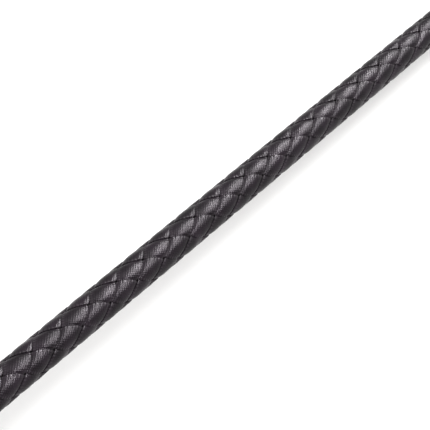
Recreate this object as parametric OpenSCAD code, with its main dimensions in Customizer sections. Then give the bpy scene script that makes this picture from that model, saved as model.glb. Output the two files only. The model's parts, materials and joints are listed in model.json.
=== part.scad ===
// Riding crop: a tapered rod in an eight-tape braid, a leather grip with a wrist loop, and a leather
// keeper at the tip. It lies along X on the plane z = 0, resting on the cap and the tip binding.

/* [Shaft] */
// Distance along the shaft from the butt to the front face of the grip
grip_end = 150; // [130:1:180]
// Distance along the shaft from the butt to the front of the tip binding
shaft_len = 566; // [480:1:620]
// Radius of the core rod inside the grip
core_r_butt = 3.2; // [2.8:0.1:3.5]
// Radius of the core rod at its tip
core_r_tip = 1.3; // [1:0.1:1.6]

/* [Braid] */
// Length of shaft in which one tape goes round once
braid_lead = 50; // [42:1:60]
// Turn of the whole braid about the shaft, in degrees
braid_turn = 60; // [0:1:90]
// Share of its lane that each tape fills
tape_fill = 0.84; // [0.7:0.02:0.86]
// Thickness of a tape along its middle
tape_t = 0.7; // [0.5:0.05:0.75]
// Thickness of a tape at its edges
tape_edge_t = 0.3; // [0.2:0.05:0.3]
// How far a tape rises and dips from its mean radius
tape_wave = 0.5; // [0.5:0.05:0.7]

/* [Grip] */
// Radius of the former at the grip's ends
former_r = 7.8; // [7.6:0.1:8]
// How much thicker the former is at the middle of the grip
former_swell = 0.8; // [0:0.1:1.5]
// Thickness of the grip leather
leather_t = 1.4; // [1:0.1:1.8]

/* [Butt cap] */
// Largest radius of the butt cap
cap_r = 13; // [11.5:0.5:15]
// Length of the butt cap
cap_len = 18; // [16:1:20]

/* [Wrist loop] */
// Radius of the staple's wire
wire_r = 1.2; // [1:0.1:1.3]
// Width of the wrist strap
strap_w = 9; // [7:0.5:9.2]
// Thickness of the wrist strap
strap_t = 2; // [1.6:0.1:2.2]
// Length of the loop from the staple's bar to its far end
loop_len = 150; // [120:5:180]
// Width of the loop, outside
loop_w = 64; // [50:2:80]

/* [Keeper] */
// Radius of the thread binding at the tip
binding_r = 4.5; // [4.2:0.1:5]
// Length of the keeper in front of its bending line
keeper_len = 82; // [60:1:100]
// Width of the keeper at its far end
keeper_w = 30; // [22:1:36]
// Thickness of one keeper leaf
leaf_t = 1.4; // [1:0.1:1.5]

/* [Hidden] */
$fn = 64;
eps = 0.01;
gap = 0.05;               // radial room between pieces of one body
end_room = 0.2;           // room along the shaft between pieces of one body
moving_gap = 0.4;         // room between the strap's fold and the staple's bar

cap_dome = 8;             // depth of the cap's dome
cap_band_end = 12;        // where the cap's widest band ends
cap_wall = 5;             // solid end of the cap, in front of its socket
cap_neck_r = 10.2;
spigot_r = 8;             // part of the former inside the cap
rear_knot_len = 9;
rear_knot_r = 9.4;        // between the thread's rows
front_knot_len = 14;
front_knot_r = 7.6;
knot_rise = 0.9;          // height of the thread's rows
core_start = 14.2;        // the rod's rear end
core_end = shaft_len - 10;
rod_room = 0.25;          // room between the rod and the lower side of the tapes

braid_start = grip_end + 1;
braid_end = shaft_len - 18;
lanes = 4;                // tapes laid each way
cell_turn = 180 / lanes;  // degrees from one crossing to the next
cells_per_mm = 2 * lanes / braid_lead;
flat_share = 0.3;         // half length of the level stretch of a crossing, in cells

binding_start = shaft_len - 28;
binding_edge = 2;         // length of the rounded ends of the binding
tang_w = 7;
hinge_s = shaft_len + 2.5;
root_room = 0.3;          // from the tang's round end to the leaves
stitch_inset = 2.4;
stitch_w = 0.8;
stitch_h = 0.35;          // depth of the sewn channel, which the thread fills flush

// The shaft lies with the cap's band and the binding's front edge both on z = 0.
binding_touch = shaft_len - binding_edge;
tilt = atan((cap_r - binding_r) / (binding_touch - cap_band_end));
axis_z0 = cap_band_end * sin(tilt) + cap_r * cos(tilt);
function axis_z(s) = axis_z0 - s * sin(tilt);

// The staple's bar stands upright just behind the cap, and the loop slopes down to z = 0.
bar_s = -5.6;
leg_z = strap_w / 2 + 0.5 + wire_r;
leg_end = 14;
wire_bend = 2;
bar_z = axis_z(bar_s);
loop_slope = asin((bar_z - strap_w / 2) / loop_len);
neck_len = 14;            // length of the two plies that lie together
widest = 0.69 * loop_len; // where the loop is widest, from the bar
ply = strap_t / 2;
rivet_at = 10;
rivet_r = 1.4;

// The keeper slopes from its bending line down to z = 0.
hinge_z = axis_z(hinge_s);
keeper_slope = asin((hinge_z - leaf_t) / keeper_len);

// x0 puts the middle of the whole object at x = 0.
front_reach = hinge_s * cos(tilt) + keeper_len * cos(keeper_slope) + leaf_t * sin(keeper_slope);
rear_reach = loop_len * cos(loop_slope) + strap_w / 2 * sin(loop_slope) - bar_s * cos(tilt);
x0 = (rear_reach - front_reach) / 2;
function axis_x(s) = x0 + s * cos(tilt);

// Places children that are built along +Z, with z the distance from the butt, along the shaft.
module on_shaft() {
    translate([axis_x(0), 0, axis_z(0)])
        rotate([0, 90 + tilt, 0])
            children();
}

// A solid turned about the shaft from a closed outline of [radius, distance] points.
module turned(outline) {
    on_shaft()
        rotate_extrude()
            polygon(outline);
}

// The rod keeps its thickness well past the grip and slims down towards the tip.
function core_r(s) =
    let (share = max(0, (s - grip_end) / (core_end - grip_end)))
    core_r_butt - (core_r_butt - core_r_tip) * pow(share, 3);

// Mean radius of the tapes, and the outside of the braid.
function tape_r(s) = core_r(s) + rod_room + tape_t / 2 + tape_wave;
function braid_r(s) = tape_r(s) + tape_wave + tape_t / 2;

function former_radius(s) =
    let (t = (s - cap_len) / (grip_end - cap_len))
    former_r + former_swell * pow(sin(180 * t), 2);

// Outline of a thread collar with three rounded rows.
function collar_rows(start, length, r, rise) =
    [for (k = [0:24]) [r + rise * sqrt(abs(sin(540 * k / 24))), start + length * k / 24]];

// ---- Rod and braid ----

module core_rod() {
    taper = [for (k = [0:16]) grip_end + (core_end - grip_end) * k / 16];
    color([0.14, 0.14, 0.14])
        turned([
            [0, core_start],
            [core_r_butt, core_start],
            each [for (s = taper) [core_r(s), s]],
            [0, core_end]
        ]);
}

// +1 where a tape runs over the crossing at whole number t, -1 where it runs under.
function over_under(t) = (abs(t) % 2) < 0.5 || (abs(t) % 2) > 1.5 ? 1 : -1;

// One section of a tape: three points outside, three inside, across its width.
// hand is 1 for tapes that turn one way and -1 for the others; lane is the tape's number, and
// cross counts the crossings along it.
function tape_section(hand, lane, cross) =
    let (
        sign = hand * over_under(lane) * over_under(round(cross)),
        across = [-tape_fill / 2, 0, tape_fill / 2],
        half_t = [tape_edge_t / 2, tape_t / 2, tape_edge_t / 2]
    )
    concat(
        [for (k = [0, 1, 2]) tape_point(hand, lane + across[k], cross, sign * tape_wave + half_t[k])],
        [for (k = [2, 1, 0]) tape_point(hand, lane + across[k], cross, sign * tape_wave - half_t[k])]
    );

function tape_point(hand, lane, cross, rise) =
    let (
        s = (cross - lane) * hand / cells_per_mm,
        r = tape_r(s) + rise,
        a = cell_turn * (cross + lane) + braid_turn
    )
    [r * cos(a), r * sin(a), s];

// The crossings that keep every corner of a tape between the braid's two ends.
function first_cross(hand, lane) =
    ceil(lane + tape_fill / 2 + flat_share + (hand > 0 ? braid_start : -braid_end) * cells_per_mm);
function last_cross(hand, lane) =
    floor(lane - tape_fill / 2 - flat_share + (hand > 0 ? braid_end : -braid_start) * cells_per_mm);

module tape(hand, lane) {
    crossings = [first_cross(hand, lane):last_cross(hand, lane)];
    rings = [for (c = crossings, side = [-1, 1]) tape_section(hand, lane, c + side * flat_share)];
    n = len(rings[0]);
    last = len(rings) - 1;
    walls = [
        for (i = [0:last - 1], k = [0:n - 1])
            let (a = i * n + k, b = i * n + (k + 1) % n)
            each [[a, b, b + n], [a, b + n, a + n]]
    ];
    // The section is a strip, so each end is two quads side by side.
    start = [[2, 1, 4], [2, 4, 3], [1, 0, 5], [1, 5, 4]];
    end = [for (f = start) [for (v = [f[2], f[1], f[0]]) v + last * n]];
    faces = concat(walls, start, end);
    color([0.09, 0.09, 0.1])
        on_shaft()
            polyhedron(
                points = [for (ring = rings, p = ring) p],
                faces = hand < 0 ? faces : [for (f = faces) [f[2], f[1], f[0]]]
            );
}

// Tapes 1 to 4 turn one way and tapes 5 to 8 the other.
module strand(number) {
    tape(number <= lanes ? 1 : -1, (number - 1) % lanes);
}

// ---- Grip ----

module grip_former() {
    rise = [for (k = [0:16]) cap_len + (grip_end - cap_len) * k / 16];
    color([0.2, 0.2, 0.2])
        difference() {
            turned(concat(
                [[0, cap_wall + end_room], [spigot_r, cap_wall + end_room], [spigot_r, cap_len]],
                [for (s = rise) [former_radius(s), s]],
                [[core_r_butt + gap, grip_end], [core_r_butt + gap, core_start], [0, core_start]]
            ));
            staple_legs(wire_r + gap);
        }
}

module grip_leather() {
    start = cap_len + rear_knot_len + end_room;
    stop = grip_end - end_room;
    rise = [for (k = [0:16]) start + (stop - start) * k / 16];
    color([0.1, 0.09, 0.09])
        turned(concat(
            [for (s = rise) [former_radius(s) + leather_t, s]],
            [for (k = [16:-1:0]) [former_radius(rise[k]) + gap, rise[k]]]
        ));
}

module rear_knot() {
    start = cap_len + 0.1;
    inner = spigot_r + 0.2;
    color([0.12, 0.12, 0.13])
        turned(concat(
            collar_rows(start, rear_knot_len, rear_knot_r, knot_rise),
            [[inner, start + rear_knot_len], [inner, start]]
        ));
}

module front_knot() {
    start = grip_end + 0.1;
    stop = start + front_knot_len;
    color([0.12, 0.12, 0.13])
        turned(concat(
            collar_rows(start, front_knot_len, front_knot_r, knot_rise),
            [[braid_r(stop) + 0.1, stop], [braid_r(start) + 0.1, start]]
        ));
}

// ---- Butt cap and wrist loop ----

module butt_cap() {
    dome = [for (t = [0:10:90]) [cap_r * sin(t), cap_dome * (1 - cos(t))]];
    shoulder = [
        for (t = [0:15:90])
            [cap_neck_r + (cap_r - cap_neck_r) * cos(t), cap_band_end + (cap_len - cap_band_end) * sin(t)]
    ];
    socket = spigot_r + gap;
    color([0.08, 0.08, 0.08])
        difference() {
            turned(concat(dome, shoulder, [[socket, cap_len], [socket, cap_wall], [0, cap_wall]]));
            staple_legs(wire_r + gap);
        }
}

module at_bar() {
    translate([axis_x(bar_s), 0, bar_z])
        children();
}

module staple_legs(r) {
    at_bar()
        for (side = [-1, 1])
            translate([wire_bend, 0, side * leg_z])
                rotate([0, 90, 0])
                    cylinder(h = leg_end - bar_s - wire_bend, r = r);
}

module strap_staple() {
    color("silver") {
        staple_legs(wire_r);
        at_bar() {
            cylinder(h = 2 * (leg_z - wire_bend), r = wire_r, center = true);
            for (side = [0, 180])
                rotate([side, 0, 0])
                    translate([wire_bend, 0, leg_z - wire_bend])
                        rotate([90, 0, 180])
                            rotate_extrude(angle = 90)
                                translate([wire_bend, 0])
                                    circle(r = wire_r);
        }
    }
}

// Middle line of the strap's one side, as [distance from the bar, half width].
function side_line() = concat(
    [for (k = [0:15])
        let (t = k / 16)
        [neck_len + (widest - neck_len) * t, ply + (loop_w / 2 - 2 * ply) * pow(sin(90 * t), 2)]],
    [for (a = [0:7.5:90])
        [widest + (loop_len - ply - widest) * sin(a), (loop_w / 2 - ply) * cos(a)]]
);

function unit(v) = v / norm(v);

// The line moved sideways by d, outwards where d is positive.
function offset_line(line, d) = [
    for (i = [0:len(line) - 1])
        let (
            along = unit(line[min(i + 1, len(line) - 1)] - line[max(i - 1, 0)]),
            out = i == len(line) - 1 ? [1, 0] : [-along[1], along[0]]
        )
        line[i] + d * out
];

// A closed outline from one side's [distance, half width] points, in the strap's own plane.
function both_sides(side) = concat(
    [for (p = side) [-p[0], p[1]]],
    [for (i = [len(side) - 1:-1:0]) [-side[i][0], -side[i][1]]]
);

module in_loop_plane() {
    at_bar()
        rotate([0, -loop_slope, 0])
            children();
}

module wrist_strap() {
    outer = offset_line(side_line(), ply);
    inner = [for (p = offset_line(side_line(), -ply)) if (p[1] > 0.3 || p[0] > widest) p];
    fold_r = wire_r + moving_gap + strap_t;
    neck = [[0, fold_r], [6, strap_t + 0.2], [neck_len, strap_t]];
    color([0.1, 0.08, 0.08])
        in_loop_plane()
            difference() {
                linear_extrude(height = strap_w, center = true)
                    difference() {
                        union() {
                            circle(r = fold_r);
                            polygon(both_sides(neck));
                            polygon(both_sides(outer));
                        }
                        polygon(both_sides(inner));
                        circle(r = wire_r + moving_gap);
                    }
                translate([-rivet_at, 0, 0])
                    rotate([90, 0, 0])
                        cylinder(h = 4 * strap_t, r = rivet_r + gap, center = true);
            }
}

module strap_rivet() {
    head_r = 3.2;
    head_h = 1;
    face = strap_t + 0.22;
    color("silver")
        in_loop_plane()
            translate([-rivet_at, 0, 0])
                rotate([90, 0, 0]) {
                    cylinder(h = 2 * face + eps, r = rivet_r, center = true);
                    for (side = [0, 180])
                        rotate([side, 0, 0])
                            translate([0, 0, face])
                                cylinder(h = head_h, r1 = head_r, r2 = head_r * 0.7);
                }
}

// ---- Tip binding and keeper ----

module tip_binding() {
    round_r = 0.6;
    rod_hole_end = core_end + end_room;
    braid_hole_end = braid_end + end_room;
    slot_end = shaft_len + 1;
    outside = [
        [binding_r - round_r, binding_start],
        [binding_r, binding_start + binding_edge],
        [binding_r, binding_touch],
        [binding_r - round_r, shaft_len]
    ];
    color([0.12, 0.12, 0.13])
        difference() {
            turned(concat(outside, [
                [0, shaft_len],
                [0, rod_hole_end],
                [core_r(braid_end) + gap, rod_hole_end],
                [core_r(braid_end) + gap, braid_hole_end],
                [braid_r(braid_end) + 0.1, braid_hole_end],
                [braid_r(binding_start) + 0.1, binding_start]
            ]));
            on_shaft()
                translate([0, 0, (rod_hole_end + slot_end) / 2])
                    cube([2 * leaf_t + 2 * gap, tang_w + 2 * gap, slot_end - rod_hole_end], center = true);
        }
}

module keeper_tang() {
    rear = core_end + 0.4;
    color([0.1, 0.09, 0.09])
        on_shaft() {
            translate([0, 0, (rear + hinge_s) / 2])
                cube([2 * leaf_t, tang_w, hinge_s - rear], center = true);
            translate([0, 0, hinge_s])
                rotate([90, 0, 0])
                    cylinder(h = tang_w, r = leaf_t, center = true);
        }
}

module on_keeper() {
    translate([axis_x(hinge_s), 0, hinge_z])
        rotate([0, keeper_slope, 0])
            children();
}

// Outline of the keeper, inset from its edge.
module keeper_outline(inset) {
    root = leaf_t + root_room + inset;
    neck = tang_w / 2 - inset / 2;
    half = keeper_w / 2 - inset;
    shoulder = 20;
    corner = 8 - inset;
    front = keeper_len - inset;
    side = concat(
        [for (k = [0:10]) let (t = k / 10)
            [root + (shoulder - root) * t, neck + (half - 1.5 - neck) * pow(sin(90 * t), 2)]],
        [for (a = [0:15:90]) [front - corner + corner * sin(a), half - corner + corner * cos(a)]]
    );
    polygon(concat(side, [for (i = [len(side) - 1:-1:0]) [side[i][0], -side[i][1]]]));
}

// The sewn line round the keeper, on one face, with its lower side at height bottom.
module sewn_line(bottom, height, room) {
    translate([0, 0, bottom])
        linear_extrude(height = height)
            difference() {
                keeper_outline(stitch_inset - room);
                keeper_outline(stitch_inset + stitch_w + room);
            }
}

// side is 1 for the upper leaf and -1 for the lower one. Each has the sewn channel in its outer face.
module keeper_leaf(side) {
    color([0.1, 0.09, 0.09])
        on_keeper()
            difference() {
                translate([0, 0, side > 0 ? 0 : -leaf_t])
                    linear_extrude(height = leaf_t)
                        keeper_outline(0);
                sewn_line(side > 0 ? leaf_t - stitch_h : -leaf_t - 1, stitch_h + 1, gap);
            }
}

module keeper_stitching() {
    color([0.3, 0.3, 0.3])
        on_keeper()
            for (bottom = [leaf_t - stitch_h, -leaf_t])
                sewn_line(bottom, stitch_h, 0);
}

core_rod();
strand(1);  // strand_1
strand(2);  // strand_2
strand(3);  // strand_3
strand(4);  // strand_4
strand(5);  // strand_5
strand(6);  // strand_6
strand(7);  // strand_7
strand(8);  // strand_8
grip_former();
grip_leather();
rear_knot();
front_knot();
butt_cap();
strap_staple();
wrist_strap();
strap_rivet();
tip_binding();
keeper_tang();
keeper_leaf(1);  // keeper_leaf_upper
keeper_leaf(-1);  // keeper_leaf_lower
keeper_stitching();
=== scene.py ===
"""Looks for the riding crop: woven tapes, stitched leather, wound thread and a pale studio."""
import json
import math

import bpy
import numpy as np
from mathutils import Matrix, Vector


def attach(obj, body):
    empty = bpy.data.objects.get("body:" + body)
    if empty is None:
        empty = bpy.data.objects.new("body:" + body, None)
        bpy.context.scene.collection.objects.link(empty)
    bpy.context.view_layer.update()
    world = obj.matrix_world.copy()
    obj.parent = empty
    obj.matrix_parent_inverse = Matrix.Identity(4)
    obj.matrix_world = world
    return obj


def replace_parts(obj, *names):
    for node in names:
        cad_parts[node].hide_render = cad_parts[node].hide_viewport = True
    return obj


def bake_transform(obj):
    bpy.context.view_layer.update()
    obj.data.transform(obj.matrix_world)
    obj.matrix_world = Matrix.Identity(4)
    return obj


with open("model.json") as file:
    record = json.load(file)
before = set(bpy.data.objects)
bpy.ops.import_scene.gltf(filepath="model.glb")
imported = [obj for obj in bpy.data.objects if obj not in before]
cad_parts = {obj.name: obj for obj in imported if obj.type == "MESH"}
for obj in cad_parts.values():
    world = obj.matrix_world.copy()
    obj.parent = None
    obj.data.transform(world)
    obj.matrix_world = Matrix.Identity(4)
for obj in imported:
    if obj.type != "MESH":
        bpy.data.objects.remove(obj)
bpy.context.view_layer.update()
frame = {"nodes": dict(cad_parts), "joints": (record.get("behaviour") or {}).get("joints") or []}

MM = 0.001
SIDE = np.array([0.0, 1.0, 0.0])

# ---- Sizes that the CAD source also has ----

CAP_R, CAP_DOME, CAP_BAND_END, CAP_LEN, CAP_NECK_R = 13 * MM, 8 * MM, 12 * MM, 18 * MM, 10.2 * MM
BAR_S = -5.6 * MM                     # the staple's bar, as a distance along the shaft
LEG_Z = 6.2 * MM                      # height of each staple leg from the bar's middle
WIRE_R = 1.2 * MM
REAR_KNOT = (18.1 * MM, 27.1 * MM)
GRIP_END = 150 * MM
FORMER_R, FORMER_SWELL = 7.8 * MM, 0.8 * MM
GRIP_LEATHER = (27.2 * MM, 149.8 * MM)
LEATHER_T = 1.4 * MM
FRONT_KNOT = (150.1 * MM, 164.1 * MM)
SHAFT_LEN = 566 * MM
CORE_R_BUTT, CORE_R_TIP = 3.2 * MM, 1.3 * MM
CORE_END = SHAFT_LEN - 10 * MM
BRAID_START, BRAID_END = GRIP_END + 1 * MM, SHAFT_LEN - 18 * MM
BRAID_LEAD = 50 * MM                  # length of shaft in which a tape goes round once
BRAID_TURN = math.radians(60)         # turns the whole braid about the shaft
LANES = 4                             # tapes laid each way
CELLS_PER_M = 2 * LANES / BRAID_LEAD
TAPE_T = 0.7 * MM
TAPE_WAVE = 0.5 * MM                  # how far a tape rises over and sinks under the others
ROD_ROOM = 0.25 * MM                  # between the rod and the tapes
BINDING = (SHAFT_LEN - 28 * MM, SHAFT_LEN)
BINDING_R = 4.5 * MM
STRAP_W, STRAP_T = 9 * MM, 2 * MM
LOOP_LEN, LOOP_W, LOOP_NECK = 150 * MM, 64 * MM, 14 * MM
RIVET_AT = 10 * MM
KEEPER_LEN, KEEPER_W, LEAF_T, TANG_W = 82 * MM, 30 * MM, 1.4 * MM, 7 * MM
STITCH_INSET = 2.8 * MM               # from the keeper's edge to the middle of its sewn line

# ---- Places: both joints lie on the shaft's own axis ----

JOINTS = {j["name"]: np.array(j["pos_m"]) for j in frame["joints"]}
BAR = JOINTS["wrist_loop_swing"]
HINGE = JOINTS["keeper_flex"]
ALONG = (HINGE - BAR) / np.linalg.norm(HINGE - BAR)
BUTT = BAR - BAR_S * ALONG
DOWN = np.cross(SIDE, ALONG)          # angles about the shaft start here and turn towards SIDE
LOOP_SLOPE = math.asin((BAR[2] - STRAP_W / 2) / LOOP_LEN)
LOOP_OUT = np.array([-math.cos(LOOP_SLOPE), 0, -math.sin(LOOP_SLOPE)])
LOOP_UP = np.array([-math.sin(LOOP_SLOPE), 0, math.cos(LOOP_SLOPE)])
KEEPER_SLOPE = math.asin((HINGE[2] - LEAF_T) / KEEPER_LEN)
KEEPER_OUT = np.array([math.cos(KEEPER_SLOPE), 0, -math.sin(KEEPER_SLOPE)])
KEEPER_UP = np.array([math.sin(KEEPER_SLOPE), 0, math.cos(KEEPER_SLOPE)])


def place(origin, axes, *distances):
    """Points at distances along each axis from the origin. The distances broadcast together."""
    distances = np.broadcast_arrays(*distances)
    return origin + sum(np.multiply.outer(d, axis) for d, axis in zip(distances, axes))


def on_shaft(r, angle, s):
    """Points at radius r, angle in radians and distance s along the shaft."""
    return place(BUTT, (ALONG, DOWN, SIDE), s, r * np.cos(angle), r * np.sin(angle))


def on_loop(out, side, up):
    return place(BAR, (LOOP_OUT, SIDE, LOOP_UP), out, side, up)


def on_keeper(out, side, up):
    return place(HINGE, (KEEPER_OUT, SIDE, KEEPER_UP), out, side, up)


def core_r(s):
    share = np.clip((s - GRIP_END) / (CORE_END - GRIP_END), 0, 1)
    return CORE_R_BUTT + (CORE_R_TIP - CORE_R_BUTT) * share ** 3


def tape_r(s):
    return core_r(s) + ROD_ROOM + TAPE_T / 2 + TAPE_WAVE


def former_r(s):
    return FORMER_R + FORMER_SWELL * np.sin(math.pi * (s - CAP_LEN) / (GRIP_END - CAP_LEN)) ** 2


# ---- Mesh helpers ----

THREAD_TWIST = 1.3 * MM


def mesh_object(name, points, faces, uv=None, wear_and_highlight=None, smooth=True):
    """A mesh from (n, 3) points and (m, 4) quads. Each point has two numbers in uv and one number for the
    share of a third colour: real wear on most pieces, a painted highlight on the tape's selvage loops.
    """
    mesh = bpy.data.meshes.new(name)
    faces = np.asarray(faces, np.int32)
    mesh.vertices.add(len(points))
    mesh.vertices.foreach_set("co", np.asarray(points, np.float32).ravel())
    mesh.loops.add(faces.size)
    mesh.loops.foreach_set("vertex_index", faces.ravel())
    mesh.polygons.add(len(faces))
    mesh.polygons.foreach_set("loop_start", np.arange(0, faces.size, faces.shape[1], dtype=np.int32))
    if uv is not None:
        layer = mesh.uv_layers.new(name="UVMap")
        layer.data.foreach_set("uv", np.asarray(uv, np.float32)[faces.ravel()].ravel())
    if wear_and_highlight is not None:
        layer = mesh.attributes.new("wear_and_highlight", "FLOAT", "POINT")
        layer.data.foreach_set("value", np.asarray(wear_and_highlight, np.float32).ravel())
    mesh.update(calc_edges=True)
    mesh.validate()
    mesh.polygons.foreach_set("use_smooth", np.full(len(mesh.polygons), smooth))
    obj = bpy.data.objects.new(name, mesh)
    bpy.context.scene.collection.objects.link(obj)
    return obj


def tube_faces(rings, n, closed=False, flip=False):
    """Quads between rings of n points each. Where closed, the last ring joins the first."""
    i, k = np.meshgrid(np.arange(rings if closed else rings - 1), np.arange(n), indexing="ij")
    j = (i + 1) % rings
    k2 = (k + 1) % n
    quads = np.stack([i * n + k, i * n + k2, j * n + k2, j * n + k], -1).reshape(-1, 4)
    return quads[:, ::-1] if flip else quads


def unit(v):
    return v / np.linalg.norm(v, axis=-1, keepdims=True)


def sweep_frames(path, up, closed):
    """Directions across and up at each point of a path, both square to it."""
    before = np.roll(path, 1, 0)
    after = np.roll(path, -1, 0)
    if not closed:
        before[0], after[-1] = path[0], path[-1]
    forward = unit(after - before)
    across = unit(np.cross(forward, up))
    return across, np.cross(across, forward)


def thread(name, path, up, r, sides, closed=False):
    """A three-ply thread along a path, twisted once in about each THREAD_TWIST."""
    across, up = sweep_frames(path, up, closed)
    steps = np.linalg.norm(np.diff(path, axis=0), axis=1)
    along = np.concatenate([[0], np.cumsum(steps)])[:, None]
    angle = np.linspace(0, 2 * math.pi, sides, endpoint=False)[None, :]
    turns = np.round(along[-1, 0] / THREAD_TWIST) / along[-1, 0]
    lobe = np.cos(3 * angle - 2 * math.pi * turns * along)
    ring = (r * (0.93 + 0.07 * lobe))[..., None]
    points = path[:, None] + ring * (
        np.cos(angle)[..., None] * across[:, None] + np.sin(angle)[..., None] * up[:, None]
    )
    faces = tube_faces(len(path), sides, closed)
    return mesh_object(name, points.reshape(-1, 3), faces, wear_and_highlight=np.clip(lobe, 0, 1) * 0.6)


def stitches(name, start, end, up, r, rise):
    """Short stitches from start to end points. Each comes out of the leather and goes back in."""
    rings, sides = 9, 8
    t = np.linspace(0, 1, rings)[None, :, None, None]
    angle = np.linspace(0, 2 * math.pi, sides, endpoint=False)[None, None, :, None]
    start, end, up = (v[:, None, None, :] for v in (start, end, up))
    across = unit(np.cross(end - start, up))
    arch = np.sin(math.pi * t)
    centre = start + (end - start) * t + up * (rise * arch ** 0.5 - 0.6 * r)
    width = r * (0.15 + 0.85 * np.clip(arch * 2.5, 0, 1))
    points = centre + width * (np.cos(angle) * across + np.sin(angle) * up)
    first = rings * sides * np.arange(len(points))[:, None, None]
    faces = (tube_faces(rings, sides)[None] + first).reshape(-1, 4)
    wear_and_highlight = np.broadcast_to(0.25 + 0.5 * arch[..., 0], points.shape[:3])
    return mesh_object(name, points.reshape(-1, 3), faces, wear_and_highlight=wear_and_highlight)


def turned(name, profile, place_ring, n=96, rise=None, wear_and_highlight=None):
    """A surface turned from (r, s) rows. rise(angle, s) is added to the radius."""
    r, s = (np.asarray(column)[:, None] for column in zip(*profile))
    angle = np.linspace(0, 2 * math.pi, n, endpoint=False)[None, :]
    extra = rise(angle, s) if rise else 0.0
    points = place_ring(r + extra, angle, s).reshape(-1, 3)
    shade = np.broadcast_to(wear_and_highlight(angle, s) if wear_and_highlight else 0.0, (len(profile), n))
    return mesh_object(name, points, tube_faces(len(profile), n, flip=True), wear_and_highlight=shade)


def dress(piece, body, slot, material, *nodes):
    """Gives a piece its material, body and the CAD nodes that it stands for. slot is not used."""
    piece.data.materials.append(material)
    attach(piece, body)
    if nodes:
        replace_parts(piece, *nodes)


# ---- Materials ----

def texture(tree, vector, kind, scale):
    """Output between about 0 and 1 from one texture node."""
    nodes, links = tree.nodes, tree.links
    if kind == "noise":
        node = nodes.new("ShaderNodeTexNoise")
        node.inputs["Detail"].default_value = 4
        out = node.outputs["Fac"]
    elif kind == "pebbles":
        node = nodes.new("ShaderNodeTexVoronoi")
        node.feature = "SMOOTH_F1"
        out = node.outputs["Distance"]
    else:
        node = nodes.new("ShaderNodeTexWave")
        node.bands_direction = kind
        out = node.outputs["Fac"]
    node.inputs["Scale"].default_value = scale
    links.new(vector, node.inputs["Vector"])
    return out


def bands(pitch):
    """Scale of a wave texture with one band in each pitch."""
    return 2 * math.pi / (20 * pitch)


MIX_A, MIX_B, MIX_RESULT = 6, 7, 2     # a Mix node's colour sockets


def blended(tree, share, low, high):
    """A mix of two colours. low is a colour or another node's output."""
    node = tree.nodes.new("ShaderNodeMix")
    node.data_type = "RGBA"
    tree.links.new(share, node.inputs[0])
    if isinstance(low, tuple):
        node.inputs[MIX_A].default_value = (*low, 1)
    else:
        tree.links.new(low, node.inputs[MIX_A])
    node.inputs[MIX_B].default_value = (*high, 1)
    return node.outputs[MIX_RESULT]


def combined(tree, operation, a, b):
    node = tree.nodes.new("ShaderNodeMath")
    node.operation = operation
    tree.links.new(a, node.inputs[0])
    tree.links.new(b, node.inputs[1])
    return node.outputs[0]


def ranged(tree, value, from_range, to_range):
    node = tree.nodes.new("ShaderNodeMapRange")
    tree.links.new(value, node.inputs["Value"])
    node.inputs["From Min"].default_value, node.inputs["From Max"].default_value = from_range
    node.inputs["To Min"].default_value, node.inputs["To Max"].default_value = to_range
    return node.outputs["Result"]


def with_ribs(tree, patches, vector, ribs):
    """The patches, made lighter where the raised ribs of both directions cross, which paints shade into
    the gaps between the ribs.
    """
    across, along = (texture(tree, vector, kind, scale) for kind, scale, _ in ribs)
    crossings = ranged(tree, combined(tree, "MULTIPLY", across, along), (0, 1), (-0.1, 0.3))
    return combined(tree, "ADD", patches, crossings)


def surface_colour(tree, patches, fine, dark, light, worn_and_highlight):
    """Dark and light patches, with the third colour mixed in fine scuffs where the point attribute is
    high: real wear on most pieces, a painted highlight on the tape's selvage loops.
    """
    wear_and_highlight = tree.nodes.new("ShaderNodeAttribute")
    wear_and_highlight.attribute_name = "wear_and_highlight"
    scuffs_and_highlight = combined(tree, "MULTIPLY", wear_and_highlight.outputs["Fac"], ranged(tree, fine, (0.3, 0.65), (0.2, 1)))
    colour = blended(tree, ranged(tree, patches, (0.35, 0.65), (0, 1)), dark, light)
    return blended(tree, scuffs_and_highlight, colour, worn_and_highlight)


def relief(tree, coordinates, bumps, uv):
    """One Bump node after another, and the last one's normal. Only wave textures use the UV map."""
    normal = None
    for kind, scale, depth in bumps:
        vector = coordinates.outputs["UV" if uv and kind in ("X", "Y") else "Object"]
        bump = tree.nodes.new("ShaderNodeBump")
        bump.inputs["Strength"].default_value = 1
        bump.inputs["Distance"].default_value = depth * MM
        tree.links.new(texture(tree, vector, kind, scale), bump.inputs["Height"])
        if normal:
            tree.links.new(normal, bump.inputs["Normal"])
        normal = bump.outputs["Normal"]
    return normal


def finish(
    name, dark, light, worn_and_highlight, roughness, bumps,
    patch=60, uv=False, metallic=0.0, specular=0.5, tint=(1, 1, 1),
):
    """A procedural material.

    bumps is a list of (texture kind, scale, depth in mm), and patch is the scale of the colour
    patches. With uv, the first two bumps are a cloth's ribs, which follow the UV map in millimetres.
    """
    material = bpy.data.materials.new(name)
    material.use_nodes = True
    tree = material.node_tree
    shader = tree.nodes["Principled BSDF"]
    shader.inputs["Metallic"].default_value = metallic
    shader.inputs["Specular IOR Level"].default_value = specular
    shader.inputs["Specular Tint"].default_value = (*tint, 1)
    coordinates = tree.nodes.new("ShaderNodeTexCoord")
    patches = texture(tree, coordinates.outputs["Object"], "noise", patch)
    fine = texture(tree, coordinates.outputs["Object"], "noise", patch * 14)
    if uv:
        # On cloth the colour also gets painted shade in the gaps between the ribs; the same pattern sets
        # the roughness.
        patches = with_ribs(tree, patches, coordinates.outputs["UV"], bumps[:2])
        shine = ranged(tree, patches, (0.9, 0.35), roughness)
    else:
        shine = ranged(tree, fine, (0.3, 0.7), roughness)
    tree.links.new(shine, shader.inputs["Roughness"])
    colour = surface_colour(tree, patches, fine, dark, light, worn_and_highlight)
    tree.links.new(colour, shader.inputs["Base Color"])
    tree.links.new(relief(tree, coordinates, bumps, uv), shader.inputs["Normal"])
    return material


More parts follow.
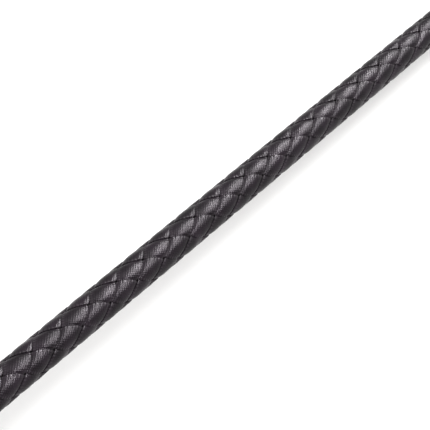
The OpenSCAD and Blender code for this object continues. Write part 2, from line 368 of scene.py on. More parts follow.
LEATHER_GRAIN = [("pebbles", 1150, 0.16), ("noise", 2600, 0.06), ("noise", 160, 0.2)]
# The tape's third colour is not wear: it is a painted highlight on the crests of its selvage loops.
TAPE = finish(
    "woven_tape", (0.003, 0.0021, 0.003), (0.02, 0.014, 0.0198), (0.08, 0.068, 0.078), (0.17, 0.38),
    [("X", bands(0.62), 0.022), ("Y", bands(0.58), 0.018), ("noise", 900, 0.04), ("noise", 330, 0.08)],
    patch=150, uv=True, specular=0.07, tint=(1, 0.9, 0.99)
)
GRIP_LEATHER_LOOK = finish(
    "grip_leather", (0.006, 0.0052, 0.005), (0.013, 0.0108, 0.010), (0.06, 0.045, 0.036), (0.38, 0.6),
    LEATHER_GRAIN, specular=0.11
)
STRAP_LEATHER_LOOK = finish(
    "strap_leather", (0.006, 0.0052, 0.005), (0.012, 0.010, 0.0092), (0.07, 0.05, 0.038), (0.36, 0.58),
    LEATHER_GRAIN, patch=45, specular=0.12
)
KEEPER_LEATHER_LOOK = finish(
    "keeper_leather", (0.006, 0.0053, 0.005), (0.014, 0.0118, 0.0108), (0.075, 0.054, 0.042),
    (0.36, 0.56), [("pebbles", 820, 0.17), ("noise", 2400, 0.06), ("noise", 90, 0.45)],
    patch=35, specular=0.08
)
THREAD = finish(
    "black_thread", (0.007, 0.0062, 0.007), (0.017, 0.015, 0.0165), (0.05, 0.045, 0.048), (0.45, 0.7),
    [("noise", 5200, 0.05), ("noise", 1500, 0.04)], patch=200, specular=0.14
)
SEWING = finish(
    "waxed_thread", (0.045, 0.041, 0.038), (0.09, 0.083, 0.077), (0.17, 0.16, 0.15), (0.4, 0.62),
    [("noise", 6000, 0.05)], patch=260, specular=0.25
)
RUBBER = finish(
    "moulded_cap", (0.006, 0.006, 0.0062), (0.012, 0.0118, 0.012), (0.055, 0.053, 0.052), (0.46, 0.7),
    [("noise", 3200, 0.04), ("noise", 240, 0.1)], patch=70, specular=0.16
)
STEEL = finish(
    "polished_steel", (0.38, 0.38, 0.375), (0.52, 0.515, 0.505), (0.7, 0.7, 0.68), (0.2, 0.34),
    [("noise", 2600, 0.003), ("noise", 180, 0.012)], patch=130, metallic=1.0
)
ROD = finish(
    "glass_fibre_rod", (0.012, 0.012, 0.012), (0.03, 0.03, 0.029), (0.1, 0.1, 0.1), (0.3, 0.45),
    [("X", bands(0.8 * MM), 0.02), ("noise", 2200, 0.02)], patch=80
)
FORMER = finish(
    "moulded_former", (0.016, 0.016, 0.016), (0.03, 0.03, 0.03), (0.06, 0.06, 0.06), (0.6, 0.8),
    [("noise", 1200, 0.1), ("pebbles", 500, 0.1)], patch=50
)

for node, look in (("core_rod", ROD), ("grip_former", FORMER), ("strap_staple", STEEL)):
    cad = frame["nodes"][node]
    cad.data.materials.clear()
    cad.data.materials.append(look)


# ---- Braid ----

OUTER_HALF = np.array([0, 0.2, 0.45, 0.68, 0.82, 0.9, 0.95, 0.985, 1])
OUTER = np.concatenate([-OUTER_HALF[:0:-1], OUTER_HALF])    # points across a tape's outer face
INNER = np.array([0.93, 0.5, 0, -0.5, -0.93])               # and back across its inner face
RINGS_PER_CELL = 32                   # rings of points from one crossing to the next
TAPE_FILL = 0.9                       # mean share of its lane that a tape fills
TAPE_SPREAD = 0.15                    # how much wider a tape lies over a crossing than its mean
TAPE_EDGE = 0.27 * MM                 # half thickness of a tape at its edges
TAPE_BULGE = 0.22 * MM                # extra height of a tape's outer face along its middle
TAPE_LAY = 1.14                       # length of tape in each length of shaft
TAPE_HALF_UV = 3.1                    # half width of a tape in its UV map, in millimetres
SELVAGE = 0.95 * MM                   # pitch of the loops along a tape's edges
SELVAGE_RISE = 0.1 * MM
SELVAGE_START, SELVAGE_BLEND = 0.7, 0.2    # where the loops start, as shares of the half width
SELVAGE_STEP = 1.9                    # how far the two edges' loops are out of step, in radians
# how much of the tape's third colour is painted on the loops' crests of the outer face: a painted
# highlight
SELVAGE_HIGHLIGHT = 0.45


def braid_wave(t):
    """Rise of a tape along its crossings: near +1 over, near -1 under, with a quick change between."""
    steepness = 1.6
    return np.tanh(steepness * np.cos(math.pi * t)) / math.tanh(steepness)


def tape_crossings(hand, lane):
    """Positions of the rings along a tape, where each whole number is a crossing."""
    near, far = (BRAID_START, BRAID_END) if hand > 0 else (-BRAID_END, -BRAID_START)
    first = lane + TAPE_FILL / 2 + near * CELLS_PER_M
    last = lane - TAPE_FILL / 2 + far * CELLS_PER_M
    return np.linspace(first, last, int((last - first) * RINGS_PER_CELL))[:, None]


def braid_tape(name, hand, lane):
    """One tape. hand is 1 for the tapes that turn one way and -1 for the others."""
    cross = tape_crossings(hand, lane)
    x = np.concatenate([OUTER, INNER])[None, :]
    face = np.concatenate([np.ones(len(OUTER)), -np.ones(len(INNER))])[None, :]
    sign = hand * (-1) ** lane
    half_w = TAPE_FILL / 2 * (1 + TAPE_SPREAD * sign * np.cos(math.pi * cross))
    beside = lane + x * half_w
    s = (cross - beside) * hand / CELLS_PER_M
    angle = math.pi / LANES * (cross + beside) + BRAID_TURN
    along = (cross - cross[0]) / CELLS_PER_M * TAPE_LAY
    edge = np.clip((np.abs(x) - SELVAGE_START) / SELVAGE_BLEND, 0, 1)
    loops = edge * (0.5 + 0.5 * np.cos(2 * math.pi * along / SELVAGE + (x > 0) * SELVAGE_STEP))
    bulge = TAPE_BULGE * (face > 0) * (1 - x ** 2)
    crown = (TAPE_T / 2 - TAPE_EDGE) * (1 - np.abs(x) ** 2.5) + bulge
    half_t = TAPE_EDGE + crown + SELVAGE_RISE * loops
    middle = tape_r(s) - TAPE_BULGE / 2 + sign * braid_wave(cross) * TAPE_WAVE
    points = on_shaft(middle + face * half_t, angle, s).reshape(-1, 3)
    uv = np.stack(np.broadcast_arrays(along / MM, x * TAPE_HALF_UV), -1).reshape(-1, 2)
    # Painted highlight on the crests of the selvage loops, on the outer face only.
    wear_and_highlight = SELVAGE_HIGHLIGHT * loops * (face > 0)
    return mesh_object(name, points, tube_faces(len(cross), x.size, flip=hand < 0), uv, wear_and_highlight)


for number in range(1, 2 * LANES + 1):
    strand = braid_tape(f"tape_{number}", 1 if number <= LANES else -1, (number - 1) % LANES)
    dress(strand, "crop", "tape", TAPE, f"strand_{number}")


# ---- Grip ----

WRAP_PITCH = 15.5 * MM                # width of one turn of the grip's leather strip
WRAP_LAP = 0.35 * MM                  # how far each turn's front edge stands over the next
WRAP_GROOVE = 0.75 * MM               # how deep the strip's rounded edges go
WRAP_ROUND = 1.1 * MM                 # width of each rounded edge
WRAP_STEPS = 120                      # rows of points in one turn
WRAP_SEAM = 1.9 * MM                  # from the strip's front edge to its stitches
WRAP_STITCHES = 20                    # in one turn


def wrap_height(share):
    """Height of the wound strip at a share of its width, from its rear edge to its front edge."""
    edge = np.minimum(share, 1 - share) * WRAP_PITCH
    rounded = 1 - np.clip(1 - edge / WRAP_ROUND, 0, 1) ** 2.2
    return LEATHER_T - WRAP_LAP - WRAP_GROOVE * (1 - rounded) + WRAP_LAP * share


def wrap_shares():
    """Shares of the strip's width, closer together near its edges."""
    near = np.array([0, 0.15, 0.3, 0.5, 0.75, 1.1, 1.6, 2.4, 3.6, 5.2]) * MM / WRAP_PITCH
    return np.concatenate([near, [0.5], 1 - near[:0:-1]])


def grip_wrap():
    """A strip wound in a helix and cut off square at both ends. Its last row of points in each turn
    joins the first row of the next turn."""
    start, stop = GRIP_LEATHER
    shares = wrap_shares()
    turns = np.arange(-1, math.ceil((stop - start) / WRAP_PITCH) + 1)
    rows = (turns[:, None] + shares[None, :]).ravel()
    share = np.tile(shares, len(turns))[None, :]
    k = np.arange(WRAP_STEPS)[:, None]
    s = np.clip(start + (rows[None, :] + k / WRAP_STEPS) * WRAP_PITCH, start, stop)
    crease = 0.05 * MM * np.sin(s / MM * 1.7 + 9 * k / WRAP_STEPS) * np.sin(k * 0.31 + 2 * rows)
    r = former_r(s) + wrap_height(share) + crease
    points = on_shaft(r, 2 * math.pi * k / WRAP_STEPS, s).reshape(-1, 3)
    columns = rows.size
    i, q = np.meshgrid(np.arange(WRAP_STEPS), np.arange(columns - 1), indexing="ij")
    last = i == WRAP_STEPS - 1
    keep = ~last | (q + 1 + len(shares) < columns)
    i, q, last = i[keep], q[keep], last[keep]
    following = np.where(last, q + len(shares), (i + 1) * columns + q)
    faces = np.stack([i * columns + q, i * columns + q + 1, following + 1, following], -1)
    flat = s.ravel()[faces]
    faces = faces[flat.max(1) - flat.min(1) > 1e-6]
    worn_and_highlight = np.clip((wrap_height(share) - LEATHER_T + 0.25 * MM) / (0.25 * MM), 0, 1) * 0.5
    return mesh_object("grip_wrap", points, faces, wear_and_highlight=np.broadcast_to(worn_and_highlight, s.shape))


def grip_stitches():
    start, stop = GRIP_LEATHER
    share = 1 - WRAP_SEAM / WRAP_PITCH
    count = int(((stop - start) / WRAP_PITCH + 1) * WRAP_STITCHES)
    turn = (np.arange(count)[:, None] + np.array([[0.0, 0.68]])) / WRAP_STITCHES - 1
    s = start + (share + turn) * WRAP_PITCH
    angle = 2 * math.pi * turn
    inside = (s.min(1) > start + 1 * MM) & (s.max(1) < stop - 1 * MM)
    ends = on_shaft(former_r(s) + wrap_height(share), angle, s)[inside]
    up = unit(on_shaft(1.0, angle, s)[inside][:, 0] - on_shaft(0.0, angle, s)[inside][:, 0])
    return stitches("grip_stitches", ends[:, 0], ends[:, 1], up, 0.3 * MM, 0.22 * MM)


dress(grip_wrap(), "crop", "leather", GRIP_LEATHER_LOOK, "grip_leather")
dress(grip_stitches(), "crop", "thread", SEWING)


# ---- Knots ----

def turks_head(name, span, radius, leads, bights, passes, thread_r):
    """A braided ring knot of one cord. radius(s) is the middle of its cord, between over and under."""
    middle = (span[0] + span[1]) / 2
    reach = (span[1] - span[0]) / 2 - passes * thread_r - 0.1 * MM
    lift = 0.85 * thread_r
    t = np.linspace(0, 2 * math.pi * leads, 420 * leads, endpoint=False)
    phase = bights * t / leads
    slope = reach * bights / leads * np.sin(phase)
    paths, ups = [], []
    for n in range(passes):
        shift = (n - (passes - 1) / 2) * 2.04 * thread_r
        s = middle + reach * np.cos(phase)
        length = np.hypot(slope, radius(s))
        s = s + shift * radius(s) / length
        angle = t + shift * slope / length / radius(s)
        r = radius(s) + lift * np.sin((leads - 1) * phase)
        paths.append(on_shaft(r, angle, s))
        ups.append(unit(paths[-1] - on_shaft(0.0, angle, s)))
    return [
        thread(f"{name}_{n + 1}", path, up, thread_r, sides=10, closed=True)
        for n, (path, up) in enumerate(zip(paths, ups))
    ]


def wound_base(name, span, r_start, r_end, turns):
    """The ridged bed of thread under a knot."""
    rows = np.linspace(0, 1, turns * 8 + 1)
    r = r_start + (r_end - r_start) * rows + 0.14 * MM * np.abs(np.sin(math.pi * turns * rows))
    profile = list(zip(r, span[0] + (span[1] - span[0]) * rows))
    profile = [(r_start - 1.2 * MM, span[0])] + profile + [(r_end - 1.2 * MM, span[1])]
    return turned(name, profile, on_shaft)


def rear_knot_r(s):
    return np.full_like(s, 9.2 * MM)


def front_knot_r(s):
    return 7.7 * MM - 1.2 * MM * (s - FRONT_KNOT[0]) / (FRONT_KNOT[1] - FRONT_KNOT[0])


rear_bed = wound_base("rear_knot_base", REAR_KNOT, r_start=8.9 * MM, r_end=8.9 * MM, turns=9)
dress(rear_bed, "crop", "thread", THREAD, "rear_knot")
for cord in turks_head(
    "rear_knot_cord", REAR_KNOT, rear_knot_r, leads=3, bights=10, passes=2, thread_r=0.6 * MM
):
    dress(cord, "crop", "thread", THREAD)

front_bed = wound_base("front_knot_base", FRONT_KNOT, r_start=7.4 * MM, r_end=6.2 * MM, turns=13)
dress(front_bed, "crop", "thread", THREAD, "front_knot")
for cord in turks_head(
    "front_knot_cord", FRONT_KNOT, front_knot_r, leads=5, bights=11, passes=2, thread_r=0.64 * MM
):
    dress(cord, "crop", "thread", THREAD)


# ---- Butt cap ----

KNURLS = 46
KNURL_BAND = (8.9 * MM, 11.9 * MM)
CAP_RINGS = (0.9 * MM, 2.4 * MM, 8.4 * MM, 12.6 * MM)       # fine grooves round the cap
BEADS_AT = 16.8 * MM                  # a beaded rim near the cap's front


def cap_profile():
    dome = [
        (CAP_R * math.sin(t), CAP_DOME * (1 - math.cos(t)))
        for t in np.linspace(0.002, math.pi / 2, 60)
    ]
    band = [(CAP_R, s) for s in np.linspace(CAP_DOME, CAP_BAND_END, 22)[1:]]
    drop = CAP_R - CAP_NECK_R
    shoulder = [
        (CAP_NECK_R + drop * math.cos(t), CAP_BAND_END + (CAP_LEN - CAP_BAND_END) * math.sin(t))
        for t in np.linspace(0, math.pi / 2, 20)[1:]
    ]
    return dome + band + shoulder + [(CAP_NECK_R - 1.6 * MM, CAP_LEN)]


def knurl_share(s):
    """1 on the knurled band, and 0 a little way beside it."""
    return np.clip(np.minimum(s - KNURL_BAND[0], KNURL_BAND[1] - s) / (0.3 * MM), 0, 1)


def cap_knurl(angle, s):
    lean = 1.15 * (s - KNURL_BAND[0]) / MM
    ridges = np.abs(np.cos(KNURLS * angle / 2 + lean) * np.cos(KNURLS * angle / 2 - lean))
    return ridges * knurl_share(s)


def cap_relief(angle, s):
    rings = sum(np.exp(-((s - at) / (0.16 * MM)) ** 2) for at in CAP_RINGS)
    beads = np.exp(-((s - BEADS_AT) / (0.7 * MM)) ** 2) * (0.6 + 0.4 * np.cos(60 * angle))
    sunk = 0.35 * MM * (1 - cap_knurl(angle, s)) * knurl_share(s)
    return -sunk - 0.3 * MM * rings + 0.45 * MM * beads


def cap_wear(angle, s):
    return np.clip(cap_knurl(angle, s) - 0.45, 0, 1) + 0.35 * np.exp(-((s - 5 * MM) / (2 * MM)) ** 2)


def on_leg(side):
    """Places rings about one leg of the staple, with s measured from the bar."""
    ahead, up = np.array([1.0, 0, 0]), np.array([0, 0, 1.0])
    start = BAR + side * LEG_Z * up
    return lambda r, angle, s: place(start, (ahead, SIDE, up), s, r * np.sin(angle), r * np.cos(angle))


def eyelet(name, side):
    """The rolled ring where a staple leg goes into the cap."""
    t = np.linspace(0, 2 * math.pi, 25)
    rim = [(WIRE_R + (0.62 - 0.5 * math.cos(a)) * MM, 6.5 * MM + 0.55 * MM * math.sin(a)) for a in t]
    return turned(name, rim, on_leg(side), n=48)


cap = turned("knurled_cap", cap_profile(), on_shaft, n=368, rise=cap_relief, wear_and_highlight=cap_wear)
dress(cap, "crop", "cap", RUBBER, "butt_cap")
dress(eyelet("eyelet_upper", 1), "crop", "steel", STEEL)
dress(eyelet("eyelet_lower", -1), "crop", "steel", STEEL)


# ---- Wrist loop ----

FOLD_R = 2.6 * MM                     # middle of the strap where it goes round the staple's bar
WIDEST = 0.69 * LOOP_LEN              # where the loop is widest, from the staple's bar
STRAP_SEAM = 3.3 * MM                 # from the strap's middle to each row of stitches
STRAP_STITCH = 3.1 * MM               # from one stitch to the next


def loop_side():
    """(distance out, half width) along one side of the strap, from the bar to the far end."""
    ply = STRAP_T / 2
    swell = LOOP_W / 2 - STRAP_T
    fold = [(-FOLD_R * math.cos(a), FOLD_R * math.sin(a)) for a in np.radians(range(0, 126, 9))]
    neck = [(4.4 * MM, 1.42 * MM), (7 * MM, 1.08 * MM), (10.5 * MM, 1.02 * MM)]
    out = [
        (LOOP_NECK + (WIDEST - LOOP_NECK) * t, ply + swell * math.sin(math.pi / 2 * t) ** 2)
        for t in np.linspace(0, 1, 24)[:-1]
    ]
    end = [
        (WIDEST + (LOOP_LEN - ply - WIDEST) * math.sin(a), (LOOP_W / 2 - ply) * math.cos(a))
        for a in np.radians(range(0, 91, 6))
    ]
    return np.array(fold + neck + out + end)


def smooth_loop(points, spacing):
    """Evenly spaced points on a closed curve through the given ones."""
    count = len(points)
    share = np.linspace(0, count, count * 24, endpoint=False)
    i = share.astype(int)
    t = (share - i)[:, None]
    p = [points[(i + k) % count] for k in (-1, 0, 1, 2)]
    linear = p[2] - p[0]
    square = 2 * p[0] - 5 * p[1] + 4 * p[2] - p[3]
    cube = 3 * p[1] - p[0] - 3 * p[2] + p[3]
    curve = 0.5 * (2 * p[1] + linear * t + square * t ** 2 + cube * t ** 3)
    steps = np.linalg.norm(np.roll(curve, -1, 0) - curve, axis=1)
    along = np.concatenate([[0], np.cumsum(steps)])
    even = np.linspace(0, along[-1], int(along[-1] / spacing), endpoint=False)
    closed = np.vstack([curve, curve[:1]])
    return np.stack([np.interp(even, along, closed[:, axis]) for axis in (0, 1)], -1)


def strap_path(spacing):
    """Middle line of the whole loop in its own plane, with the outward direction at each point."""
    side = loop_side()
    line = smooth_loop(np.vstack([side, side[-2:0:-1] * [1, -1]]), spacing)
    forward = unit(np.roll(line, -1, 0) - np.roll(line, 1, 0))
    return line, np.stack([-forward[:, 1], forward[:, 0]], -1)


def strap_face(x):
    """Half thickness of the strap at x across it, with a rounded edge and a shallow sewn groove."""
    edge = (STRAP_W / 2 - np.abs(x)) / MM
    rounded = np.sqrt(np.clip(1 - np.clip(1 - edge / 0.6, 0, 1) ** 2, 0, 1))
    groove = np.exp(-((np.abs(x) - STRAP_SEAM) / (0.42 * MM)) ** 2)
    return STRAP_T / 2 * (0.55 + 0.45 * rounded) - 0.16 * MM * groove


def wrist_strap():
    line, outward = strap_path(0.7 * MM)
    half = np.array([0, 0.8, 1.6, 2.3, 2.75, 3.05, 3.3, 3.55, 3.85, 4.1, 4.3, 4.42, 4.5]) * MM
    x = np.concatenate([-half[:0:-1], half])
    across = np.concatenate([x, x[::-1]])[None, :]
    height = np.concatenate([strap_face(x), -strap_face(x)])[None, :]
    bend = 0.04 * MM * np.sin(line[:, :1] / MM * 0.9) * np.cos(across / MM * 0.5)
    depth = height + bend
    out = line[:, :1] + outward[:, :1] * depth
    side = line[:, 1:] + outward[:, 1:] * depth
    points = on_loop(out, side, across).reshape(-1, 3)
    edge = np.clip((np.abs(across) - 3.9 * MM) / (0.5 * MM), 0, 1)
    wear_and_highlight = np.broadcast_to(0.8 * edge, out.shape)
    faces = tube_faces(len(line), across.size, closed=True)
    return mesh_object("wrist_strap_leather", points, faces, wear_and_highlight=wear_and_highlight)


def strap_stitches():
    """Four rows: near both edges, on the outer and the inner face, clear of the neck and the fold."""
    line, outward = strap_path(STRAP_STITCH)
    following = np.roll(line, -1, 0)
    clear = np.minimum(line[:, 0], following[:, 0]) > LOOP_NECK + 3 * MM
    start, step, out = line[clear], (following - line)[clear], outward[clear]
    rows = []
    for face in (-1, 1):
        for seam in (-STRAP_SEAM, STRAP_SEAM):
            lift = face * strap_face(np.array(seam))
            a = start + step * 0.14 + out * lift
            b = start + step * 0.86 + out * lift
            up = on_loop(out[:, 0] * face, out[:, 1] * face, 0.0) - BAR
            rows.append((on_loop(a[:, 0], a[:, 1], seam), on_loop(b[:, 0], b[:, 1], seam), up))
    a, b, up = (np.vstack(column) for column in zip(*rows))
    return stitches("wrist_strap_stitches", a, b, up, 0.3 * MM, 0.2 * MM)


def on_rivet(r, angle, s):
    return on_loop(RIVET_AT + r * np.cos(angle), s, r * np.sin(angle))


def rivet_heads():
    """Both domed heads and the pin as one turned surface."""
    pin_r, rim, dome_r = 1.4 * MM, 3.2 * MM, 2.75 * MM
    face = STRAP_T + 0.1 * MM
    flange = [
        (pin_r, face), (rim - 0.15 * MM, face), (rim, face + 0.15 * MM), (rim - 0.1 * MM, face + 0.4 * MM)
    ]
    dome = [
        (dome_r * math.cos(t) + 0.01 * MM, face + (0.3 + 0.85 * math.sin(t)) * MM)
        for t in np.linspace(0, math.pi / 2, 16)
    ]
    head = flange + dome
    other = [(r, -s) for r, s in reversed(head)]
    return turned("rivet_heads", other + head, on_rivet, n=64)


dress(wrist_strap(), "wrist_loop", "leather", STRAP_LEATHER_LOOK, "wrist_strap")
dress(strap_stitches(), "wrist_loop", "thread", SEWING)
dress(rivet_heads(), "wrist_loop", "steel", STEEL, "strap_rivet")


# ---- Tip binding ----

BINDING_THREAD_R = 0.33 * MM
BINDING_PITCH = 1.9 * BINDING_THREAD_R
BINDING_EDGE = 2 * MM                 # length of the thinner ends of the binding
NOSE_LEN = 0.8 * MM                   # how far the closing turns stand in front of the binding
NOSE_TURNS = 6


def binding_line_r(s):
    """Middle of the binding's thread: it thins towards both ends and closes in over the front."""
    rear = np.clip((s - BINDING[0]) / BINDING_EDGE, 0, 1)
    front = np.clip((BINDING[1] - s) / BINDING_EDGE, 0, 1)
    body = BINDING_R - BINDING_THREAD_R - 0.5 * MM * ((1 - rear) ** 2 + (1 - front) ** 2)
    nose = np.clip((s - BINDING[1]) / NOSE_LEN, 0, 1)
    return body * np.sqrt(1 - 0.93 * nose ** 2)


def binding_path():
    """The thread's winding: even turns along the body, then turns that close in over the nose."""
    step = 1 / 64
    body = np.arange(0, (BINDING[1] - BINDING[0]) / BINDING_PITCH, step)
    nose = np.arange(0, NOSE_TURNS, 1 / 48)
    closing = BINDING[1] + NOSE_LEN * np.sin(math.pi / 2 * nose / NOSE_TURNS)
    turns = np.concatenate([body, body[-1] + step + nose])
    return np.concatenate([BINDING[0] + body * BINDING_PITCH, closing]), 2 * math.pi * turns


def binding_thread():
    s, angle = binding_path()
    path = on_shaft(binding_line_r(s), angle, s)
    up = unit(path - on_shaft(0.0, angle, s - 0.4 * MM))
    return thread("tip_binding_thread", path, up, BINDING_THREAD_R, sides=9)


def binding_ridges(angle, s):
    return 0.05 * MM * np.cos(2 * math.pi * s / BINDING_PITCH - angle)


def binding_base():
    s = np.linspace(BINDING[0], BINDING[1] + NOSE_LEN, 40)
    r = np.maximum(binding_line_r(s) - 0.1 * MM, 0.4 * MM)
    profile = [(3.3 * MM, BINDING[0])] + list(zip(r, s))
    return turned("tip_binding_base", profile, on_shaft, rise=binding_ridges)


dress(binding_base(), "crop", "thread", THREAD, "tip_binding")
dress(binding_thread(), "crop", "thread", THREAD)


# ---- Keeper ----

KEEPER_REAR = -9 * MM                 # the leaves' rear ends, inside the binding
SHOULDER = 20 * MM                    # where the keeper reaches its width
CORNER = 8 * MM                       # radius of its front corners
KEEPER_SPREAD = 1.5 * MM              # how much each side still widens in front of the shoulder
SEAM_START = 6.5 * MM                 # where the sewn line starts, in front of the bending line
KEEPER_STITCH = 3 * MM                # from one stitch to the next


def keeper_half(p):
    """Half width of the keeper at a distance p in front of its bending line."""
    root = 2 * MM
    neck = TANG_W / 2
    wide = KEEPER_W / 2
    flare = np.clip((p - root) / (SHOULDER - root), 0, 1)
    half = neck + (wide - KEEPER_SPREAD - neck) * np.sin(math.pi / 2 * flare) ** 2
    half = half + KEEPER_SPREAD * np.clip((p - SHOULDER) / (KEEPER_LEN - CORNER - SHOULDER), 0, 1)
    over = np.clip((p - (KEEPER_LEN - CORNER)) / CORNER, 0, 1)
    return half - CORNER * (1 - np.sqrt(1 - over ** 2))


def outline(inset, count):
    """Points round the keeper's free edge, moved inwards by inset where it is wide enough."""
    p = np.linspace(KEEPER_REAR, KEEPER_LEN, 4000)
    side = np.stack([p, keeper_half(p)], -1)
    front = np.stack([np.full(60, KEEPER_LEN), np.linspace(side[-1, 1], -side[-1, 1], 60)], -1)
    line = np.vstack([side, front[1:-1], side[::-1] * [1, -1]])
    forward = unit(np.gradient(line, axis=0))
    room = np.minimum(1, keeper_half(line[:, :1]) / (8 * MM))
    inwards = np.stack([forward[:, 1], -forward[:, 0]], -1)
    line = line + inwards * inset * np.where(line[:, :1] > KEEPER_LEN - CORNER, 1, room)
    along = np.concatenate([[0], np.cumsum(np.linalg.norm(np.diff(line, axis=0), axis=1))])
    even = np.linspace(0, along[-1], count)
    return np.stack([np.interp(even, along, line[:, axis]) for axis in (0, 1)], -1)


def distance_to(line, points):
    """Distance in the keeper's plane from each point to the nearest point of a dense line."""
    best = np.full(points.shape[:-1], np.inf)
    for x, y in line:
        best = np.minimum(best, np.hypot(points[..., 0] - x, points[..., 1] - y))
    return best


def leaf_grid():
    """(distance out, side) of each point of a leaf, finer near its edges."""
    near = np.array([0, 0.1, 0.25, 0.45, 0.8, 1.3, 1.9, 2.3, 2.6, 2.8, 3.0, 3.3, 3.7, 4.6, 6]) * MM
    p = np.concatenate([np.arange(KEEPER_REAR, KEEPER_LEN - 6 * MM, 0.6 * MM), KEEPER_LEN - near[::-1]])
    half = keeper_half(p)[:, None]
    reach = near[None, :] * np.minimum(1, half / (8 * MM))
    inner = np.linspace(0, 1, 8)[None, :-1] * (half - reach[:, -1:])
    positive = np.concatenate([inner, (half - reach)[:, ::-1]], 1)
    side = np.concatenate([-positive[:, :0:-1], positive], 1)
    return np.broadcast_to(p[:, None], side.shape), side


def slab_faces(rows, columns):
    """Quads of a closed slab: a grid of points, the same grid again below it, and the wall between."""
    i, k = np.meshgrid(np.arange(rows - 1), np.arange(columns - 1), indexing="ij")
    corner = (i * columns + k).reshape(-1, 1)
    top = corner + np.array([0, columns, columns + 1, 1])
    rim = np.concatenate([
        np.arange(rows) * columns,
        (rows - 1) * columns + np.arange(1, columns),
        (np.arange(rows - 2, -1, -1) + 1) * columns - 1,
        np.arange(columns - 2, 0, -1),
    ])
    after = np.roll(rim, -1)
    below = rows * columns
    wall = np.stack([rim, rim + below, after + below, after], -1)
    return np.concatenate([top, (top + below)[:, ::-1], wall])


def keeper_leaf(name, face):
    """One leaf: a rounded outer face with a sewn groove, a flat inner face, and the cut edge between."""
    p, side = leaf_grid()
    flat = np.stack([p, side], -1)
    edge = distance_to(outline(0.0, 2600), flat)
    sewn = distance_to(outline(STITCH_INSET, 1300), flat)
    rounded = 1 - np.sqrt(1 - np.clip(1 - edge / (0.7 * MM), 0, 1) ** 2)
    groove = np.exp(-(sewn / (0.5 * MM)) ** 2) * (p > 3 * MM)
    ripple = 0.1 * MM * np.sin(p / MM * 0.23 + 0.4) * np.cos(side / MM * 0.21)
    ripple = ripple * np.clip(p / SHOULDER, 0, 1)
    outer = LEAF_T - 0.1 * MM - 0.4 * MM * rounded - 0.28 * MM * groove + ripple
    inner = 0.03 * MM + 0.2 * MM * rounded
    points = np.concatenate([on_keeper(p, side, face * outer), on_keeper(p, side, face * inner)])
    faces = slab_faces(*side.shape)
    worn_and_highlight = np.tile(np.clip(1 - edge / (0.8 * MM), 0, 1).ravel() * 0.9, 2)
    leaf = mesh_object(name, points.reshape(-1, 3), faces if face < 0 else faces[:, ::-1], wear_and_highlight=worn_and_highlight)
    leaf.data.materials.append(KEEPER_LEATHER_LOOK)
    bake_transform(leaf)
    return leaf


def keeper_stitches():
    line = outline(STITCH_INSET, 6000)
    line = line[line[:, 0] > SEAM_START]
    along = np.concatenate([[0], np.cumsum(np.linalg.norm(np.diff(line, axis=0), axis=1))])
    count = int(along[-1] / KEEPER_STITCH)
    at = np.arange(count)[:, None] * KEEPER_STITCH + np.array([[0.3, 2.5]]) * MM
    p, side = (np.interp(at, along, line[:, axis]) for axis in (0, 1))
    rows = []
    for face in (-1, 1):
        ends = on_keeper(p, side, face * (LEAF_T - 0.34 * MM))
        rows.append((ends[:, 0], ends[:, 1], np.tile(face * KEEPER_UP, (count, 1))))
    a, b, up = (np.vstack(column) for column in zip(*rows))
    return stitches("keeper_stitches", a, b, up, 0.3 * MM, 0.22 * MM)


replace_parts(keeper_leaf("keeper_upper", 1), "keeper_leaf_upper", "keeper_tang")
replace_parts(keeper_leaf("keeper_lower", -1), "keeper_leaf_lower")
dress(keeper_stitches(), "keeper", "thread", SEWING, "keeper_stitching")


# ---- Studio ----

WORLD_STRENGTH = 0.92
FLOOR_COLOUR = (0.93, 0.925, 0.915)
FLOOR_HALF = 3                        # half the side of the floor, in metres


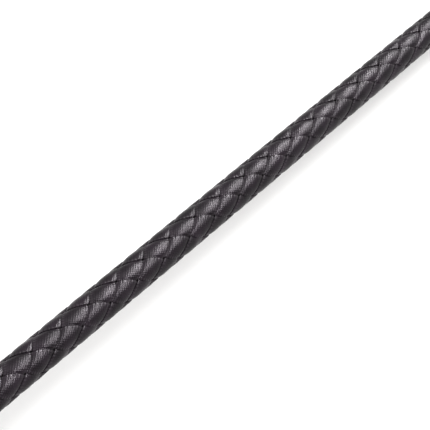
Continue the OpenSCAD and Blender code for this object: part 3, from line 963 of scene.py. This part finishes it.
def studio():
    world = bpy.data.worlds.new("studio")
    bpy.context.scene.world = world
    world.use_nodes = True
    background = world.node_tree.nodes["Background"]
    background.inputs["Color"].default_value = (1, 1, 1, 1)
    background.inputs["Strength"].default_value = WORLD_STRENGTH
    corners = FLOOR_HALF * np.array([[-1, -1, 0], [1, -1, 0], [1, 1, 0], [-1, 1, 0]])
    floor = mesh_object("floor", corners, [[0, 1, 2, 3]], smooth=False)
    material = bpy.data.materials.new("floor")
    material.use_nodes = True
    shader = material.node_tree.nodes["Principled BSDF"]
    shader.inputs["Base Color"].default_value = (*FLOOR_COLOUR, 1)
    shader.inputs["Roughness"].default_value = 0.8
    floor.data.materials.append(material)
    bpy.context.scene.view_settings.view_transform = "Standard"


def light(name, target, direction, distance, size, power):
    """A rectangular lamp that faces the target. distance and size are in metres, power in watts."""
    data = bpy.data.lights.new(name, "AREA")
    data.shape = "RECTANGLE"
    data.size, data.size_y = size
    data.energy = power
    lamp = bpy.data.objects.new(name, data)
    bpy.context.scene.collection.objects.link(lamp)
    towards = Vector(direction).normalized()
    lamp.location = Vector(target) + towards * distance
    lamp.rotation_euler = towards.to_track_quat("Z", "Y").to_euler()
    return lamp


# The camera looks at the braid in front of the grip, from the butt's side and above, with a long lens.
VIEW_S = 274.5 * MM                   # where the view meets the shaft
VIEW_OBLIQUE = math.radians(41.7)     # between the view and the plane square to the shaft
VIEW_ROUND = math.radians(51.95)      # height of the view round the shaft, from the -Y side
VIEW_DISTANCE = 0.7                   # in metres
VIEW_LENS = 200.5                     # focal length in millimetres
VIEW_SHIFT = -0.0165                  # a small trim of the picture's height


def camera(target):
    round_shaft = -math.cos(VIEW_ROUND) * SIDE - math.sin(VIEW_ROUND) * DOWN
    towards = -math.sin(VIEW_OBLIQUE) * ALONG + math.cos(VIEW_OBLIQUE) * round_shaft
    data = bpy.data.cameras.new("camera")
    data.lens = VIEW_LENS
    data.shift_y = VIEW_SHIFT
    cam = bpy.data.objects.new("camera", data)
    bpy.context.scene.collection.objects.link(cam)
    cam.location = Vector(target + VIEW_DISTANCE * towards)
    cam.rotation_euler = Vector(towards).to_track_quat("Z", "Y").to_euler()
    bpy.context.scene.camera = cam


def lights(target):
    """A lamp overhead that lifts the floor's shadow, and a strip that shows only in gloss."""
    overhead = light("overhead", target, (0.2, 0.1, 1.0), distance=1.4, size=(1.2, 1.2), power=15)
    overhead.data.use_shadow = False
    sheen = light("sheen", target, (0.665, -0.35, 0.66), distance=1.2, size=(1.5, 0.16), power=74)
    sheen.visible_diffuse = False


studio()
camera(BUTT + VIEW_S * ALONG)
lights(BUTT + VIEW_S * ALONG)
